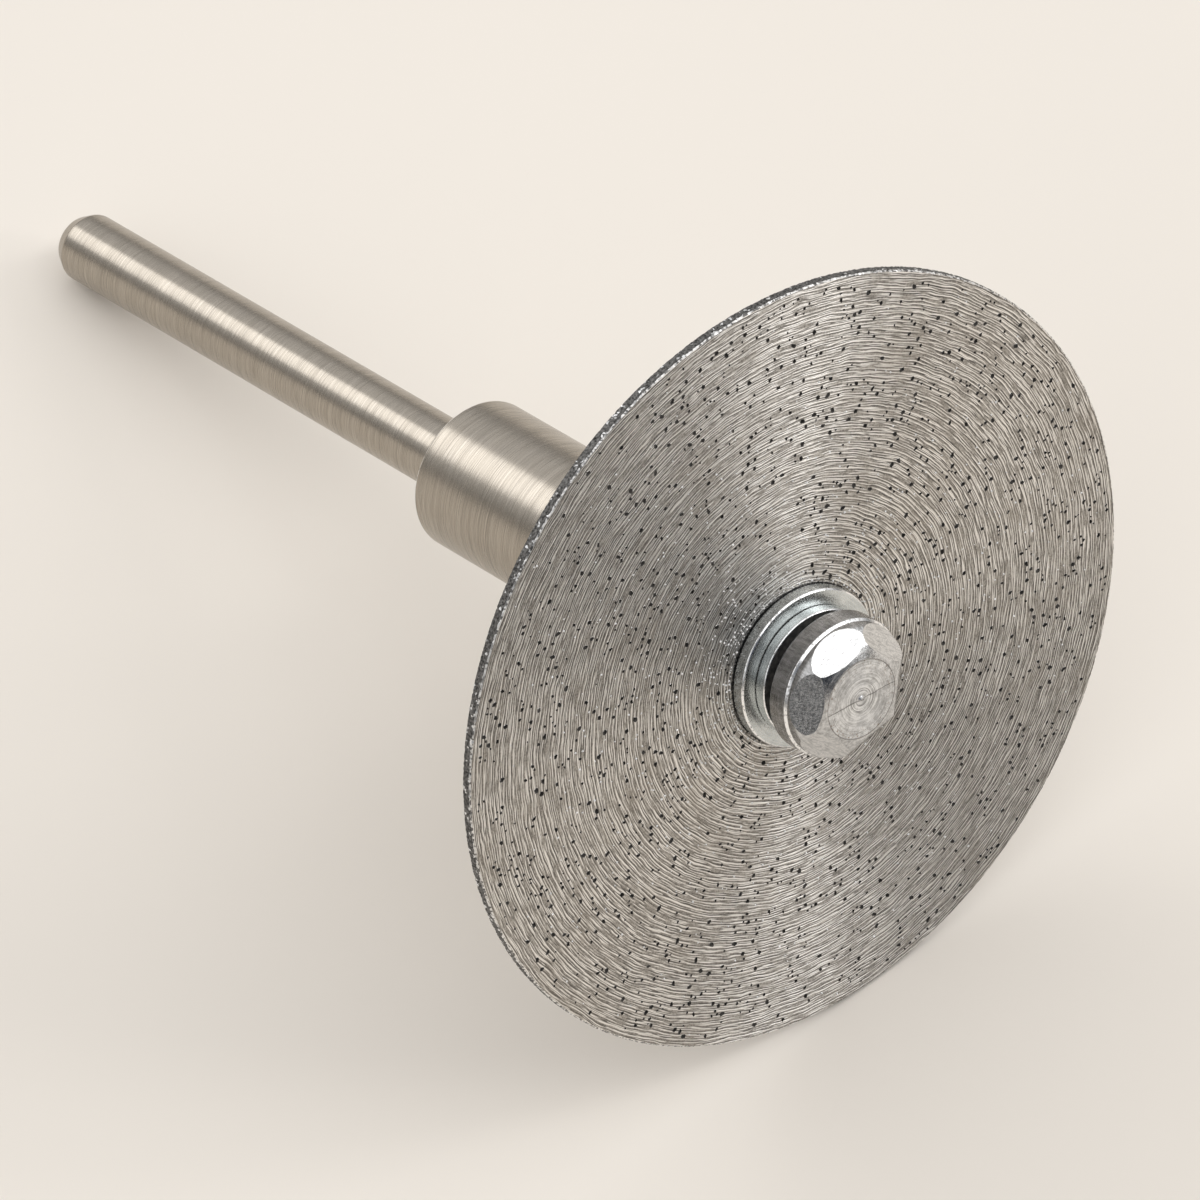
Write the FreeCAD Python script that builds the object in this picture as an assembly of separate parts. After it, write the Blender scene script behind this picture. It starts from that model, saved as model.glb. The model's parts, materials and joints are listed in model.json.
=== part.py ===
import FreeCAD, Part
import math
import os

# Diamond grout removal blade, clamped by a screw on the front of a turned mandrel.
# Every length is in millimetres. The pieces are modelled in the tool's own frame: the tool
# axis is Z, the blade's back face is at height 0, the screw is above it and the shank below.
# At the end the whole tool is laid down, on the blade's rim and the tip of its shank.

# Blade: a steel disc with diamond grit on its faces and rim
BLADE_DIAMETER = 35.0
BLADE_THICKNESS = 0.5
BLADE_RIM_CHAMFER = 0.06

# Mandrel: a shank and a round collar turned from one bar
SHANK_DIAMETER = 3.175
SHANK_LENGTH = 28.6
SHANK_TIP_TAPER = 0.7
SHANK_TIP_DEPTH = 0.35
SHANK_ROOT_FILLET = 0.3
COLLAR_DIAMETER = 6.8
COLLAR_LENGTH = 21.4
COLLAR_BACK_CHAMFER = 0.18
COLLAR_FRONT_CHAMFER = 0.12

# Thread of the clamp screw, with its crests as a plain cylinder
THREAD_DIAMETER = 3.0
THREAD_ENGAGEMENT = 9.0
THREAD_TIP_CHAMFER = 0.35
THREAD_RELIEF_DIAMETER = 2.4
THREAD_RELIEF_LENGTH = 1.0
TAPPED_HOLE_CLEARANCE = 0.04
TAPPED_HOLE_RUNOUT = 1.5
COUNTERSINK_DEPTH = 0.3
DRILL_POINT_ANGLE = 118.0
DRILL_CHISEL_WIDTH = 0.4

# Washers between the blade and the screw head
SCREW_HOLE_CLEARANCE = 0.1
FLAT_WASHER_DIAMETER = 7.2
FLAT_WASHER_THICKNESS = 0.65
FLAT_WASHER_BEVEL = 0.07
SPRING_WASHER_DIAMETER = 5.8
SPRING_WASHER_THICKNESS = 0.55
SPRING_WASHER_BEVEL = 0.05
SPRING_WASHER_GAP = 0.45
SPRING_WASHER_GAP_SLANT = 25.0
SPRING_WASHER_TURN = 36.0

# Head of the clamp screw
HEAD_DIAMETER = 6.3
HEAD_SIDE_HEIGHT = 1.1
HEAD_RIM_BEVEL = 0.1
HEAD_SEAT_DIAMETER = 4.9
HEAD_SEAT_HEIGHT = 0.6
HEAD_CROWN_HEIGHT = 1.15
HEAD_FLAT_DIAMETER = 3.66
CROWN_SLOPE = 18.0
FACET_COUNT = 6
FACET_SLOPE = 43.5
FACET_FOOT_HEIGHT = 0.09
FACET_TURN = 6.4
PIP_DIAMETER = 0.34
PIP_TOP_DIAMETER = 0.16
PIP_HEIGHT = 0.07

BLADE_RADIUS = BLADE_DIAMETER / 2
SHANK_RADIUS = SHANK_DIAMETER / 2
SHANK_TIP_HEIGHT = -(COLLAR_LENGTH + SHANK_LENGTH)
SCREW_HOLE_RADIUS = THREAD_DIAMETER / 2 + SCREW_HOLE_CLEARANCE
FLAT_WASHER_HEIGHT = BLADE_THICKNESS
SPRING_WASHER_HEIGHT = FLAT_WASHER_HEIGHT + FLAT_WASHER_THICKNESS
HEAD_SEAT_LEVEL = SPRING_WASHER_HEIGHT + SPRING_WASHER_THICKNESS

ORIGIN = FreeCAD.Vector(0, 0, 0)
TOOL_AXIS = FreeCAD.Vector(0, 0, 1)
ROW_Y_AXIS = FreeCAD.Vector(0, 1, 0)


def profile_point(point):
    """A (radius, height) pair as a point in the plane of a turned profile."""
    radius, height = point
    return FreeCAD.Vector(radius, 0, height)


def line(start, end):
    """One straight edge of a turned profile."""
    return Part.LineSegment(profile_point(start), profile_point(end)).toShape()


def lines(points):
    """Straight edges through a row of (radius, height) points."""
    return [line(start, end) for start, end in zip(points, points[1:])]


def arc(centre, radius, start_angle, end_angle):
    """Part of a circle between two angles, in degrees from the outward direction."""
    def at(angle):
        turn = math.radians(angle)
        return profile_point((centre[0] + radius * math.cos(turn), centre[1] + radius * math.sin(turn)))
    return Part.Arc(at(start_angle), at((start_angle + end_angle) / 2), at(end_angle)).toShape()


def turned(edges):
    """The solid swept by a closed profile as it goes once round the tool axis."""
    face = Part.Face(Part.Wire(Part.__sortEdges__(edges)))
    return face.revolve(ORIGIN, TOOL_AXIS, 360)


def turned_from_points(points):
    """A turned solid whose profile has straight edges only."""
    return turned(lines(points + points[:1]))


def mandrel_blank():
    """Shank and collar with their chamfers and the fillet between them."""
    collar_radius = COLLAR_DIAMETER / 2
    collar_back = -COLLAR_LENGTH
    up_to_root = lines([
        (0, collar_back),
        (0, SHANK_TIP_HEIGHT),
        (SHANK_RADIUS - SHANK_TIP_DEPTH, SHANK_TIP_HEIGHT),
        (SHANK_RADIUS, SHANK_TIP_HEIGHT + SHANK_TIP_TAPER),
        (SHANK_RADIUS, collar_back - SHANK_ROOT_FILLET),
    ])
    root_centre = (SHANK_RADIUS + SHANK_ROOT_FILLET, collar_back - SHANK_ROOT_FILLET)
    root_fillet = arc(root_centre, SHANK_ROOT_FILLET, 90, 180)
    from_root = lines([
        (SHANK_RADIUS + SHANK_ROOT_FILLET, collar_back),
        (collar_radius - COLLAR_BACK_CHAMFER, collar_back),
        (collar_radius, collar_back + COLLAR_BACK_CHAMFER),
        (collar_radius, -COLLAR_FRONT_CHAMFER),
        (collar_radius - COLLAR_FRONT_CHAMFER, 0),
        (0, 0),
        (0, collar_back),
    ])
    return turned(up_to_root + [root_fillet] + from_root)


def tapped_hole():
    """The blind hole in the mandrel's front face, with its countersink and drill point."""
    radius = THREAD_DIAMETER / 2 + TAPPED_HOLE_CLEARANCE
    bottom = -(THREAD_ENGAGEMENT + TAPPED_HOLE_RUNOUT)
    chisel_radius = DRILL_CHISEL_WIDTH / 2
    drill_point_depth = (radius - chisel_radius) / math.tan(math.radians(DRILL_POINT_ANGLE / 2))
    return turned_from_points([
        (0, 0),
        (0, bottom - drill_point_depth),
        (chisel_radius, bottom - drill_point_depth),
        (radius, bottom),
        (radius, -COUNTERSINK_DEPTH),
        (radius + COUNTERSINK_DEPTH, 0),
    ])


def make_mandrel():
    return mandrel_blank().cut(tapped_hole())


def make_blade():
    """A flat disc with a centre hole and worn corners on its rim."""
    return turned_from_points([
        (SCREW_HOLE_RADIUS, 0),
        (BLADE_RADIUS - BLADE_RIM_CHAMFER, 0),
        (BLADE_RADIUS, BLADE_RIM_CHAMFER),
        (BLADE_RADIUS, BLADE_THICKNESS - BLADE_RIM_CHAMFER),
        (BLADE_RADIUS - BLADE_RIM_CHAMFER, BLADE_THICKNESS),
        (SCREW_HOLE_RADIUS, BLADE_THICKNESS),
    ])


def washer_ring(diameter, thickness, bevel, height):
    """A ring that lies at a height, with a bevel round both its outer edges."""
    radius = diameter / 2
    front = height + thickness
    return turned_from_points([
        (SCREW_HOLE_RADIUS, height),
        (radius - bevel, height),
        (radius, height + bevel),
        (radius, front - bevel),
        (radius - bevel, front),
        (SCREW_HOLE_RADIUS, front),
    ])


def make_flat_washer():
    return washer_ring(FLAT_WASHER_DIAMETER, FLAT_WASHER_THICKNESS, FLAT_WASHER_BEVEL, FLAT_WASHER_HEIGHT)


def make_spring_washer():
    """A split ring: its two ends face each other across a slanted gap."""
    ring = washer_ring(
        SPRING_WASHER_DIAMETER, SPRING_WASHER_THICKNESS, SPRING_WASHER_BEVEL, SPRING_WASHER_HEIGHT
    )
    reach = SPRING_WASHER_DIAMETER
    split = Part.makeBox(
        reach, SPRING_WASHER_GAP, reach, FreeCAD.Vector(0, -SPRING_WASHER_GAP / 2, -reach / 2)
    )
    split.rotate(ORIGIN, FreeCAD.Vector(1, 0, 0), SPRING_WASHER_GAP_SLANT)
    split.translate(FreeCAD.Vector(0, 0, SPRING_WASHER_HEIGHT + SPRING_WASHER_THICKNESS / 2))
    split.rotate(ORIGIN, TOOL_AXIS, SPRING_WASHER_TURN)
    return ring.cut(split)


def crown_round_radius(foot_radius, flat_radius):
    """The radius of the crown's rounded edge, which runs from upright into the crown's slope."""
    slope = math.radians(CROWN_SLOPE)
    rise = HEAD_CROWN_HEIGHT - (foot_radius - flat_radius) * math.tan(slope)
    return rise / (math.cos(slope) - (1 - math.sin(slope)) * math.tan(slope))


def screw_blank(foot_height, foot_radius, flat_height):
    """The screw before its facets: thread, seat, head side, crown, flat and pip."""
    thread_radius = THREAD_DIAMETER / 2
    relief_radius = THREAD_RELIEF_DIAMETER / 2
    relief_start = HEAD_SEAT_LEVEL - THREAD_RELIEF_LENGTH
    tip_height = -THREAD_ENGAGEMENT
    seat_radius = HEAD_SEAT_DIAMETER / 2
    head_radius = HEAD_DIAMETER / 2
    head_back = HEAD_SEAT_LEVEL + HEAD_SEAT_HEIGHT
    flat_radius = HEAD_FLAT_DIAMETER / 2
    stem_and_side = lines([
        (0, flat_height + PIP_HEIGHT),
        (0, tip_height),
        (thread_radius - THREAD_TIP_CHAMFER, tip_height),
        (thread_radius, tip_height + THREAD_TIP_CHAMFER),
        (thread_radius, relief_start - (thread_radius - relief_radius)),
        (relief_radius, relief_start),
        (relief_radius, HEAD_SEAT_LEVEL),
        (seat_radius, HEAD_SEAT_LEVEL),
        (seat_radius, head_back),
        (head_radius - HEAD_RIM_BEVEL, head_back),
        (head_radius, head_back + HEAD_RIM_BEVEL),
        (head_radius, foot_height - HEAD_RIM_BEVEL),
        (foot_radius, foot_height),
    ])
    round_radius = crown_round_radius(foot_radius, flat_radius)
    round_centre = (foot_radius - round_radius, foot_height)
    crown_edge = arc(round_centre, round_radius, 0, 90 - CROWN_SLOPE)
    slope = math.radians(CROWN_SLOPE)
    crown_and_pip = lines([
        (round_centre[0] + round_radius * math.sin(slope), foot_height + round_radius * math.cos(slope)),
        (flat_radius, flat_height),
        (PIP_DIAMETER / 2, flat_height),
        (PIP_TOP_DIAMETER / 2, flat_height + PIP_HEIGHT),
        (0, flat_height + PIP_HEIGHT),
    ])
    return turned(stem_and_side + [crown_edge] + crown_and_pip)


def facet_cutter(foot_height, foot_radius, turn):
    """The block that grinds one facet: its lower face is the facet's sloping plane."""
    reach = HEAD_DIAMETER * 2
    block = Part.makeBox(reach, reach, reach, FreeCAD.Vector(-reach / 2, -reach / 2, 0))
    block.rotate(ORIGIN, ROW_Y_AXIS, FACET_SLOPE)
    block.translate(FreeCAD.Vector(foot_radius, 0, foot_height + FACET_FOOT_HEIGHT))
    block.rotate(ORIGIN, TOOL_AXIS, turn)
    return block


def make_clamp_screw():
    foot_height = HEAD_SEAT_LEVEL + HEAD_SEAT_HEIGHT + HEAD_SIDE_HEIGHT
    foot_radius = HEAD_DIAMETER / 2 - HEAD_RIM_BEVEL
    flat_height = foot_height + HEAD_CROWN_HEIGHT
    screw = screw_blank(foot_height, foot_radius, flat_height)
    for facet in range(FACET_COUNT):
        turn = FACET_TURN + facet * 360 / FACET_COUNT
        screw = screw.cut(facet_cutter(foot_height, foot_radius, turn))
    return screw


def resting_tilt():
    """How far the tool axis rises towards the head, in degrees, when rim and shank tip touch the ground."""
    run = BLADE_RIM_CHAMFER - (SHANK_TIP_HEIGHT + SHANK_TIP_TAPER)
    return math.degrees(math.atan2(BLADE_RADIUS - SHANK_RADIUS, run))


def resting_placement(shapes):
    """The placement that lays the tool down and puts the middle of its base at the origin."""
    tilt = FreeCAD.Rotation(ROW_Y_AXIS, 90 - resting_tilt())
    laid_down = Part.makeCompound(shapes)
    laid_down.Placement = FreeCAD.Placement(ORIGIN, tilt)
    box = laid_down.optimalBoundingBox(False)
    shift = FreeCAD.Vector(-box.Center.x, -box.Center.y, -box.ZMin)
    return FreeCAD.Placement(shift, tilt)


def main():
    pieces = {
        "mandrel": make_mandrel(),
        "blade": make_blade(),
        "flat_washer": make_flat_washer(),
        "spring_washer": make_spring_washer(),
        "clamp_screw": make_clamp_screw(),
    }
    placement = resting_placement(list(pieces.values()))
    os.makedirs("parts", exist_ok=True)
    for name, shape in pieces.items():
        shape.Placement = placement
        shape.exportStep("parts/" + name + ".step")
        print(name, "solids", len(shape.Solids), "valid", shape.isValid(), "volume", round(shape.Volume, 3))
    wall_length = SHANK_LENGTH - SHANK_TIP_TAPER - SHANK_ROOT_FILLET
    wall_middle = SHANK_TIP_HEIGHT + SHANK_TIP_TAPER + wall_length / 2
    print("tilt", resting_tilt(), "blade centre", placement.multVec(ORIGIN))
    print("shank wall length", wall_length, "middle", placement.multVec(TOOL_AXIS * wall_middle))
    print("shank direction", placement.Rotation.multVec(-TOOL_AXIS))


main()
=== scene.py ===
import bmesh
import bpy
import json
import math
import random
from mathutils import Matrix, Vector
from mathutils.geometry import delaunay_2d_cdt


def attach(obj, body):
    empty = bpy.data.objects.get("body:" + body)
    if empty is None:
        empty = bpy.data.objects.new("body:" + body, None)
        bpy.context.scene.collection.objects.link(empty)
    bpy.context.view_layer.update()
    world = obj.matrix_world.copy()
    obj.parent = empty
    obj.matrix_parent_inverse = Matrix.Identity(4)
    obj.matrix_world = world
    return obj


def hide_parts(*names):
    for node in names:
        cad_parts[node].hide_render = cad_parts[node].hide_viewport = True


# Diamond grout removal blade: looks, light and camera.
# The pieces are made in the tool's own frame, as in the part's source: the tool axis is Z, the
# blade's back face is at height 0, the screw is above it and the shank below. Lengths are in
# millimetres until a mesh is stored, which is in metres.

MM = 0.001

# Blade
BLADE_RADIUS = 17.5
BLADE_THICKNESS = 0.5
BLADE_RIM_CHAMFER = 0.06
RIM_COLUMNS = 1400
RIM_LEVELS = (0.0, 0.06, 0.13, 0.2, 0.27, 0.34, 0.41, 0.44, 0.5)
RIM_GRIT_DEPTH = 0.035
RIM_COLUMN_JITTER = 0.3
RIM_LEVEL_JITTER = 0.01
BORE_RADIUS = 1.6
BORE_COLUMNS = 96

# Seed of the random draws for the rim, pits and grains
BLADE_SEED = 11

# Pits that lost grains leave in the blade's faces, some with a few others close by
PIT_COUNT = 2000
PIT_INNER_LIMIT = 3.7
PIT_OUTER_LIMIT = 17.2
PIT_SIZES = (0.05, 0.13)
PIT_SIZE_EXPONENT = 1.1
PIT_STRETCH = 0.5
PIT_SIDES = (5, 6)
PIT_CORNER_JITTER = 0.7
PIT_DEPTHS = (0.04, 0.09)
PIT_CLEARANCE = 0.012
PIT_LIP_SCALE = 0.88
PIT_LIP_HEIGHT = 0.008
PIT_FLOOR_SCALE = 0.5
CLUSTER_SHARE = 0.35
CLUSTER_COUNTS = (1, 2, 3, 4)
CLUSTER_REACH = (0.09, 0.26)

# Grains that still stand out of the faces, closest together near the hub where wear is least
GRAIN_COUNT = 1300
GRAIN_INNER_LIMIT = 3.75
GRAIN_OUTER_LIMIT = 17.0
GRAIN_SIZES = (0.035, 0.075)
GRAIN_CROWDING = 2.8
GRAIN_CORNERS = 4

# Reach of a grain's two ends and of its corners, and the corners' heights, as shares of its size
GRAIN_END_SHARES = (0.8, 1.1)
GRAIN_CORNER_SHARES = (0.7, 1.1)
GRAIN_WAIST_SHARES = (-0.2, 0.2)

# Side of the squares that sort the pits and grains by place
SCATTER_CELL = 0.5

# Mandrel
SHANK_RADIUS = 1.5875
SHANK_LENGTH = 28.6
SHANK_TIP_TAPER = 0.7
SHANK_TIP_DEPTH = 0.35
SHANK_ROOT_FILLET = 0.3
SHANK_WALL_LENGTH = SHANK_LENGTH - SHANK_TIP_TAPER - SHANK_ROOT_FILLET
COLLAR_RADIUS = 3.4
COLLAR_LENGTH = 21.4
COLLAR_BACK_CHAMFER = 0.18
COLLAR_FRONT_CHAMFER = 0.12
TAPPED_HOLE_RADIUS = 1.54
TAPPED_HOLE_DEPTH = 10.5
TAPPED_HOLE_COUNTERSINK = 0.3

# Washers
FLAT_WASHER_RADIUS = 3.6
FLAT_WASHER_THICKNESS = 0.65
FLAT_WASHER_BEVEL = 0.07
SPRING_WASHER_RADIUS = 2.9
SPRING_WASHER_THICKNESS = 0.55
SPRING_WASHER_BEVEL = 0.05
SPRING_WASHER_GAP = 0.45
SPRING_WASHER_GAP_SLANT = 25.0
SPRING_WASHER_TURN = 36.0

# Clamp screw
THREAD_RADIUS = 1.5
THREAD_END = -9.0
THREAD_TIP_CHAMFER = 0.35
RELIEF_RADIUS = 1.2
HEAD_SEAT_LEVEL = BLADE_THICKNESS + FLAT_WASHER_THICKNESS + SPRING_WASHER_THICKNESS
RELIEF_START = HEAD_SEAT_LEVEL - 1.0
HEAD_SEAT_RADIUS = 2.45
HEAD_BACK = HEAD_SEAT_LEVEL + 0.6
HEAD_RADIUS = 3.15
HEAD_RIM_BEVEL = 0.1
CROWN_FOOT = HEAD_BACK + 1.1
CROWN_RADIUS = HEAD_RADIUS - HEAD_RIM_BEVEL
CROWN_SLOPE = 18.0
FLAT_RADIUS = 1.83
FLAT_LEVEL = CROWN_FOOT + 1.15
FACET_COUNT = 6
FACET_SLOPE = 43.5
FACET_FOOT_HEIGHT = 0.09
FACET_TURN = 6.4
PIP_RADIUS = 0.17
PIP_TOP_RADIUS = 0.08
PIP_HEIGHT = 0.07
FLAT_SCRATCH_LEAN = 0.14

# Meshes of turned pieces
ROUND_SEGMENTS = 256
CROWN_STEPS = 20
SHARP_ANGLE = 25.0

# Corners worn round: their radii, their steps, and the most of a side that a corner takes
MANDREL_WEAR = 0.06
WASHER_WEAR = 0.03
SCREW_WEAR = 0.03
FLAT_EDGE_WEAR = 0.02
CORNER_STEPS = 5
CORNER_SHARE = 0.45

# Middle of a fillet's arc, as a share of its radius
FILLET_MIDDLE = 0.29

# How the blade's faces are filled between their outlines: with polygons rather than triangles
FILL_WITH_POLYGONS = 4

# Distances under which points count as one, the last in metres
FILL_NEARNESS = 1e-7
AXIS_NEARNESS = 1e-6
CUT_NEARNESS = 1e-8

# Which faces get a finish of their own: the upright part of a slanted face's normal, and margins
SLANTED_NORMALS = (0.3, 0.96)
MARK_MARGIN = 0.01
LEVEL_MARGIN = 0.001

# Places in each piece's list of materials, where 0 is its main finish
# The edge slots hold a painted glint on bevels.
MANDREL_EDGE = 1
# The blade's shade slot holds the painted shadow of its pits.
BLADE_FACE, BLADE_SHADE, BLADE_RIM, BLADE_RIM_EDGE = 0, 1, 2, 3
# The washers' and screw's shade slots hold painted shade for their crevices.
WASHER_SHADE, WASHER_EDGE = 1, 2
SCREW_SIDE, SCREW_FACET, SCREW_FLAT, SCREW_SHADE, SCREW_EDGE = 0, 1, 2, 3, 4

# Camera, as the photograph's viewpoint was solved: angles in degrees, lengths in metres
CAMERA_AZIMUTH = 48.83
CAMERA_ELEVATION = 51.52
CAMERA_DISTANCE = 0.45935
CAMERA_LENS = 330.0
CAMERA_SENSOR = 36.0
CAMERA_NEAR = 0.01
CAMERA_FAR = 20.0
BLADE_RIGHT_OF_CENTRE = 0.00831
BLADE_BELOW_CENTRE = 0.00262

# Floor: radii of its rings in millimetres, its colour, and how dark the mottling makes it
FLOOR_RADII = (60, 200, 800, 3000)
FLOOR_SEGMENTS = 96
FLOOR_COLOUR = (0.88, 0.82, 0.745)
FLOOR_MOTTLE = 0.99

# Soft boxes, in metres: direction from the tool, width and height, and radiance
LAMP_DISTANCE = 0.9
LAMP_CENTRE = (0.01, 0, 0.01)
LAMPS = {
    "right": ((0.73, 0.6, 0.32), (0.2, 0.3), 4.8),
    "right_high": ((0.42, 0.7, 0.58), (0.2, 0.3), 3.6),
    "top": ((0.44, 0.07, 0.87), (0.84, 0.22), 1.7),
    "back": ((-0.87, -0.19, 0.43), (0.44, 0.46), 1.8),
}

# Sky: the upward parts of a direction between which it goes from dark to light
SKY_DARK_HEIGHT = 0.1
SKY_LIGHT_HEIGHT = 0.3
SKY_DARK = (0.1, 0.1, 0.1, 1)
SKY_LIGHT = (0.96, 0.96, 0.96, 1)

# Dark part of the sky, right of the camera, with the cosines of the angles at its edge and core
DARK_SIDE = (0.84, -0.16, 0.52)
DARK_SIDE_EDGE = 0.78
DARK_SIDE_CORE = 0.88
DARK_SIDE_COLOUR = (0.04, 0.05, 0.07, 1)


def tool_placement(record):
    """The tool's own frame in the row frame, found from the shank mount."""
    shank = record["mounts"][0]
    axis = -Vector(shank["axis"]).normalized()
    across = Vector((0, 1, 0))
    to_blade = COLLAR_LENGTH + SHANK_ROOT_FILLET + SHANK_WALL_LENGTH / 2
    origin = Vector(shank["pos_m"]) + axis * to_blade * MM
    turn = Matrix((across.cross(axis), across, axis)).transposed().to_4x4()
    return Matrix.Translation(origin) @ turn


class Outline:
    """Vertices and faces of one piece, in millimetres, with a material number for each face."""

    def __init__(self):
        self.vertices = []
        self.faces = []
        self.finishes = []

    def add_ring(self, points):
        start = len(self.vertices)
        self.vertices.extend(points)
        return list(range(start, len(self.vertices)))

    def add_face(self, corners, finish=0, flip=False):
        self.faces.append(tuple(reversed(corners)) if flip else tuple(corners))
        self.finishes.append(finish)

    def join_rings(self, first, second, finish=0, flip=False):
        """A band of faces between two closed rings with the same number of vertices."""
        count = len(first)
        for index in range(count):
            after = (index + 1) % count
            corners = (first[index], first[after], second[after], second[index])
            self.add_face(corners, finish, flip)

    def to_bmesh(self):
        bm = bmesh.new()
        made = [bm.verts.new(Vector(point) * MM) for point in self.vertices]
        for corners, finish in zip(self.faces, self.finishes):
            face = bm.faces.new([made[corner] for corner in corners])
            face.material_index = finish
        return bm


def circle(radius, level, count):
    """Points evenly round the tool axis."""
    steps = [2 * math.pi * index / count for index in range(count)]
    return [(radius * math.cos(step), radius * math.sin(step), level) for step in steps]


def softened(profile, radius, closed=False):
    """A profile whose corners are worn round; the two ends of an open one stay as they are."""
    points = [Vector(point) for point in profile]
    count = len(points)
    result = [] if closed else [points[0]]
    corners = range(count) if closed else range(1, count - 1)
    for index in corners:
        corner = points[index]
        before = points[index - 1] - corner
        after = points[(index + 1) % count] - corner
        reach = min(radius, before.length * CORNER_SHARE, after.length * CORNER_SHARE)
        start = corner + before.normalized() * reach
        end = corner + after.normalized() * reach
        for step in range(CORNER_STEPS + 1):
            t = step / CORNER_STEPS
            result.append(start * (1 - t) ** 2 + corner * 2 * t * (1 - t) + end * t ** 2)
    if not closed:
        result.append(points[-1])
    return result


def turned(profile, closed=False):
    """Turns a (radius, height) profile round the tool axis; an open one starts and ends on the axis."""
    outline = Outline()
    rings = []
    for radius, height in profile:
        if radius < AXIS_NEARNESS:
            rings.append(outline.add_ring([(0, 0, height)]))
        else:
            rings.append(outline.add_ring(circle(radius, height, ROUND_SEGMENTS)))
    if closed:
        rings.append(rings[0])
    for low, high in zip(rings, rings[1:]):
        if len(low) == len(high):
            outline.join_rings(low, high)
            continue
        tip, ring = (low, high) if len(low) == 1 else (high, low)
        for index in range(ROUND_SEGMENTS):
            outline.add_face((tip[0], ring[index], ring[(index + 1) % ROUND_SEGMENTS]))
    bm = outline.to_bmesh()
    bmesh.ops.recalc_face_normals(bm, faces=bm.faces)
    return bm


def sharpen(bm):
    """Smooth faces everywhere, with a hard edge wherever two faces meet at a sharp angle."""
    limit = math.radians(SHARP_ANGLE)
    for face in bm.faces:
        face.smooth = True
    for edge in bm.edges:
        if edge.calc_face_angle(0) > limit:
            edge.smooth = False


def mark_band(bm, finish, inner_radius, low, high, bevels_only=True):
    """Gives the faces beyond a radius and between two heights a finish, or only the slanted ones."""
    for face in bm.faces:
        centre = face.calc_center_median() / MM
        slanted = SLANTED_NORMALS[0] < abs(face.normal.z) < SLANTED_NORMALS[1]
        inside = low < centre.z < high and math.hypot(centre.x, centre.y) > inner_radius
        if inside and (slanted or not bevels_only):
            face.material_index = finish


def add_piece(name, bm, materials, node):
    """Lays a mesh down with the tool, as the visible piece for one node of the model."""
    bm.transform(tool)
    mesh = bpy.data.meshes.new(name)
    bm.to_mesh(mesh)
    bm.free()
    for material in materials:
        mesh.materials.append(material)
    piece = bpy.data.objects.new(name, mesh)
    bpy.context.scene.collection.objects.link(piece)
    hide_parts(node)
    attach(piece, "root")


def mandrel_mesh():
    """Shank and collar in one, with the blind hole that the clamp screw goes into."""
    collar_back = -COLLAR_LENGTH
    shank_end = collar_back - SHANK_LENGTH
    fillet_middle = SHANK_ROOT_FILLET * FILLET_MIDDLE
    shank_up_to_fillet = [
        (0, shank_end),
        (SHANK_RADIUS - SHANK_TIP_DEPTH, shank_end),
        (SHANK_RADIUS, shank_end + SHANK_TIP_TAPER),
        (SHANK_RADIUS, collar_back - SHANK_ROOT_FILLET),
        (SHANK_RADIUS + fillet_middle, collar_back - fillet_middle),
        (SHANK_RADIUS + SHANK_ROOT_FILLET, collar_back),
    ]
    collar_and_hole = [
        (COLLAR_RADIUS - COLLAR_BACK_CHAMFER, collar_back),
        (COLLAR_RADIUS, collar_back + COLLAR_BACK_CHAMFER),
        (COLLAR_RADIUS, -COLLAR_FRONT_CHAMFER),
        (COLLAR_RADIUS - COLLAR_FRONT_CHAMFER, 0),
        (TAPPED_HOLE_RADIUS + TAPPED_HOLE_COUNTERSINK, 0),
        (TAPPED_HOLE_RADIUS, -TAPPED_HOLE_COUNTERSINK),
        (TAPPED_HOLE_RADIUS, -TAPPED_HOLE_DEPTH),
        (0, -TAPPED_HOLE_DEPTH),
    ]
    bm = turned(softened(shank_up_to_fillet + collar_and_hole, MANDREL_WEAR))
    sharpen(bm)
    # The collar's back chamfer gets a painted glint.
    mark_band(bm, MANDREL_EDGE, COLLAR_RADIUS - COLLAR_BACK_CHAMFER, collar_back, 0)
    return bm


def flat_washer_mesh():
    back = BLADE_THICKNESS
    front = back + FLAT_WASHER_THICKNESS
    profile = [
        (BORE_RADIUS, back),
        (FLAT_WASHER_RADIUS - FLAT_WASHER_BEVEL, back),
        (FLAT_WASHER_RADIUS, back + FLAT_WASHER_BEVEL),
        (FLAT_WASHER_RADIUS, front - FLAT_WASHER_BEVEL),
        (FLAT_WASHER_RADIUS - FLAT_WASHER_BEVEL, front),
        (BORE_RADIUS, front),
    ]
    bm = turned(softened(profile, WASHER_WEAR, closed=True), closed=True)
    sharpen(bm)
    bevel_top = back + FLAT_WASHER_BEVEL
    # The back face and back bevel, seated on the blade, get painted shade.
    mark_band(bm, WASHER_SHADE, BORE_RADIUS, back - FLAT_WASHER_BEVEL, bevel_top, bevels_only=False)
    # The front bevel gets a painted glint.
    mark_band(bm, WASHER_EDGE, BORE_RADIUS, front - FLAT_WASHER_BEVEL - MARK_MARGIN, front)
    return bm


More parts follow.
